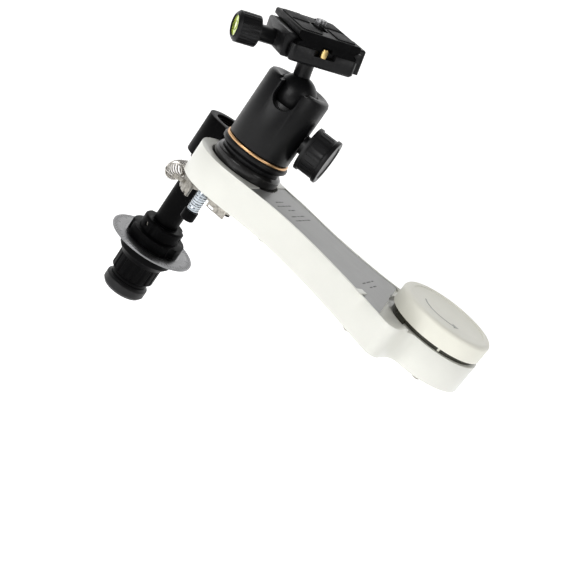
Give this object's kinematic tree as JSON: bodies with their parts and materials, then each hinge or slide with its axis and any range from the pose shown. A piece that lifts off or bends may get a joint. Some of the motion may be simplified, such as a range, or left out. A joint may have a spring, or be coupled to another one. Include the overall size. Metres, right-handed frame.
{
  "type": "clockwork camera star tracker",
  "caption": "Hand-wound camera tracking mount: white arm with winding cap, ball head with quick release clamp, polar finder and counter-spring.",
  "frame": {"origin": "centre of the mouth of the tripod socket in the underside of the arm", "axes": "+X along the arm from the rotor end to the winding drum, +Y away from the bulged side of the arm, +Z along the rotor axis, out of the face that carries the ball head"},
  "size_m": [0.2453, 0.11, 0.2249],
  "materials": {
    "white_paint": "satin cream white enamel",
    "label_grey": "printed grey sheet",
    "cap_white": "cream moulded cap",
    "can_dark": "dark bronze enamel",
    "steel": "turned steel",
    "zinc_steel": "zinc plated",
    "black_anodised": "black anodised, satin",
    "black_gloss": "black anodised, polished",
    "gold_anodised": "gold anodised",
    "silver": "clear anodised",
    "brass": "turned brass",
    "black_plastic": "moulded",
    "rubber_black": "ribbed rubber",
    "glass_clear": "coated glass",
    "vial_green": "bubble vial",
    "spring_steel": "wire"
  },
  "bodies": {
    "housing": {"upper_housing": "white_paint", "bottom_cover": "white_paint", "cover_screws": "zinc_steel", "tripod_socket": "steel", "label_plate": "label_grey", "plate_clip": "white_paint", "top_bearing": "steel", "bottom_bush": "brass", "anchor_stud": "zinc_steel", "stud_cap": "black_plastic", "hook_bar": "zinc_steel", "hook_screws": "black_anodised", "clockwork_can": "can_dark", "can_lid": "brass", "index_mark": "cap_white", "mainspring": "spring_steel", "finder_bracket": "black_anodised", "bracket_screws": "zinc_steel", "counter_spring": "spring_steel"},
    "balance": {"balance_wheel": "brass"},
    "rotor": {"rotor_base": "black_gloss", "rotor_shaft": "steel", "sector_arm": "steel", "pan_base": "black_anodised", "spring_drum": "zinc_steel"},
    "pinion": {"drive_pinion": "brass"},
    "winding": {"winding_cap": "cap_white", "winding_spindle": "steel", "spindle_gear": "brass"},
    "head": {"head_body": "black_anodised", "gold_ring": "gold_anodised", "ball_seat": "black_plastic", "lock_wedge": "brass"},
    "lock": {"lock_knob": "rubber_black", "lock_knob_cap": "black_anodised", "lock_screw": "steel"},
    "ball": {"head_ball": "black_anodised"},
    "stem": {"ball_stem": "black_anodised"},
    "clamp": {"clamp_base": "black_anodised", "level_lug": "black_anodised", "clamp_bolt": "steel"},
    "jaw": {"moving_jaw": "black_anodised"},
    "jaw_knob": {"clamp_knob": "black_anodised", "clamp_screw": "steel", "level_vial": "vial_green"},
    "plate": {"release_plate": "black_anodised", "grip_pads": "rubber_black"},
    "plate_screw": {"camera_screw": "silver"},
    "plate_pin": {"safety_pin": "brass"},
    "finder": {"finder_tube": "black_anodised", "objective_lens": "glass_clear", "reticle_glass": "glass_clear", "finder_collar": "black_anodised", "collar_screws": "zinc_steel", "eyepiece_body": "black_anodised"},
    "disc": {"date_disc": "silver"},
    "focus": {"focus_ring": "rubber_black", "eye_lens": "glass_clear"},
    "finder_screw": {"finder_clamp_screw": "black_anodised"}
  },
  "joints": [
    {"name": "rotor_turn", "type": "hinge", "parent": "housing", "child": "rotor", "pos_m": [-0.07, 0.006, 0.0198], "axis": [0, 0, 1], "range_deg": [-7.2, 7.2], "deforming": ["counter_spring"]},
    {"name": "pinion_turn", "type": "hinge", "parent": "housing", "child": "pinion", "pos_m": [0.0795, -0.00629, 0.0198], "axis": [0, 0, 1], "range_deg": [-173.5, 173.5]},
    {"name": "winding_turn", "type": "hinge", "parent": "housing", "child": "winding", "pos_m": [0.08, 0.006, 0.0198], "axis": [0, 0, 1], "range_deg": [-173.5, 173.5]},
    {"name": "balance_swing", "type": "hinge", "parent": "housing", "child": "balance", "pos_m": [0.092, 0.016, 0.0198], "axis": [0, 0, 1], "range_deg": [-150, 150]},
    {"name": "head_pan", "type": "hinge", "parent": "rotor", "child": "head", "pos_m": [-0.07, 0.006, 0.0333], "axis": [0, 0, 1], "continuous": true},
    {"name": "lock_knob_turn", "type": "hinge", "parent": "head", "child": "lock", "pos_m": [-0.0406, 0.01198, 0.0524], "axis": [0.9799, 0.1994, 0], "range_deg": [-180, 180]},
    {"name": "tilt_front", "type": "hinge", "parent": "head", "child": "ball", "pos_m": [-0.07, 0.006, 0.0718], "axis": [0.9798, 0.2, 0], "range_deg": [-28, 20]},
    {"name": "tilt_side", "type": "hinge", "parent": "ball", "child": "stem", "pos_m": [-0.07, 0.006, 0.0718], "axis": [0.2, -0.9798, 0], "range_deg": [-36, 12]},
    {"name": "platform_spin", "type": "hinge", "parent": "stem", "child": "clamp", "pos_m": [-0.07, 0.006, 0.0718], "axis": [-0.2051, -0.1431, 0.9682], "continuous": true},
    {"name": "jaw_slide", "type": "slide", "parent": "clamp", "child": "jaw", "axis": [0.6667, 0.7038, 0.2453], "range_m": [-0.002, 0]},
    {"name": "clamp_knob_turn", "type": "hinge", "parent": "jaw", "child": "jaw_knob", "pos_m": [-0.10274, -0.02639, 0.09065], "axis": [0.6667, 0.7038, 0.2453], "range_deg": [-721, 1]},
    {"name": "plate_slide", "type": "slide", "parent": "clamp", "child": "plate", "axis": [0.7165, -0.6959, 0.049], "range_m": [-0.0045, 0.0045]},
    {"name": "camera_screw_turn", "type": "hinge", "parent": "plate", "child": "plate_screw", "pos_m": [-0.07738, 0.00085, 0.10666], "axis": [-0.2051, -0.1431, 0.9682], "continuous": true},
    {"name": "pin_press", "type": "slide", "parent": "clamp", "child": "plate_pin", "axis": [-0.2051, -0.1431, 0.9682], "range_m": [-0.003, 0], "stiffness_N_per_m": 300, "springref_m": 0.0005},
    {"name": "finder_slide", "type": "slide", "parent": "housing", "child": "finder", "axis": [0, 0, 1], "range_m": [-0.015, 0.03]},
    {"name": "date_disc_turn", "type": "hinge", "parent": "finder", "child": "disc", "pos_m": [-0.1055, 0.0344, -0.0682], "axis": [0, 0, 1], "continuous": true},
    {"name": "focus_turn", "type": "hinge", "parent": "finder", "child": "focus", "pos_m": [-0.1055, 0.0344, -0.1022], "axis": [0, 0, 1], "range_deg": [0, 300]},
    {"name": "finder_screw_turn", "type": "hinge", "parent": "housing", "child": "finder_screw", "pos_m": [-0.0995, 0.04479, 0.0148], "axis": [0.5, 0.866, 0], "range_deg": [-180, 180]}
  ],
  "couplings": [
    {"joint": "pinion_turn", "follows": "rotor_turn", "ratio": -24},
    {"joint": "winding_turn", "follows": "rotor_turn", "ratio": 24},
    {"joint": "clamp_knob_turn", "follows": "jaw_slide", "rad_per_m": 6283.2}
  ]
}
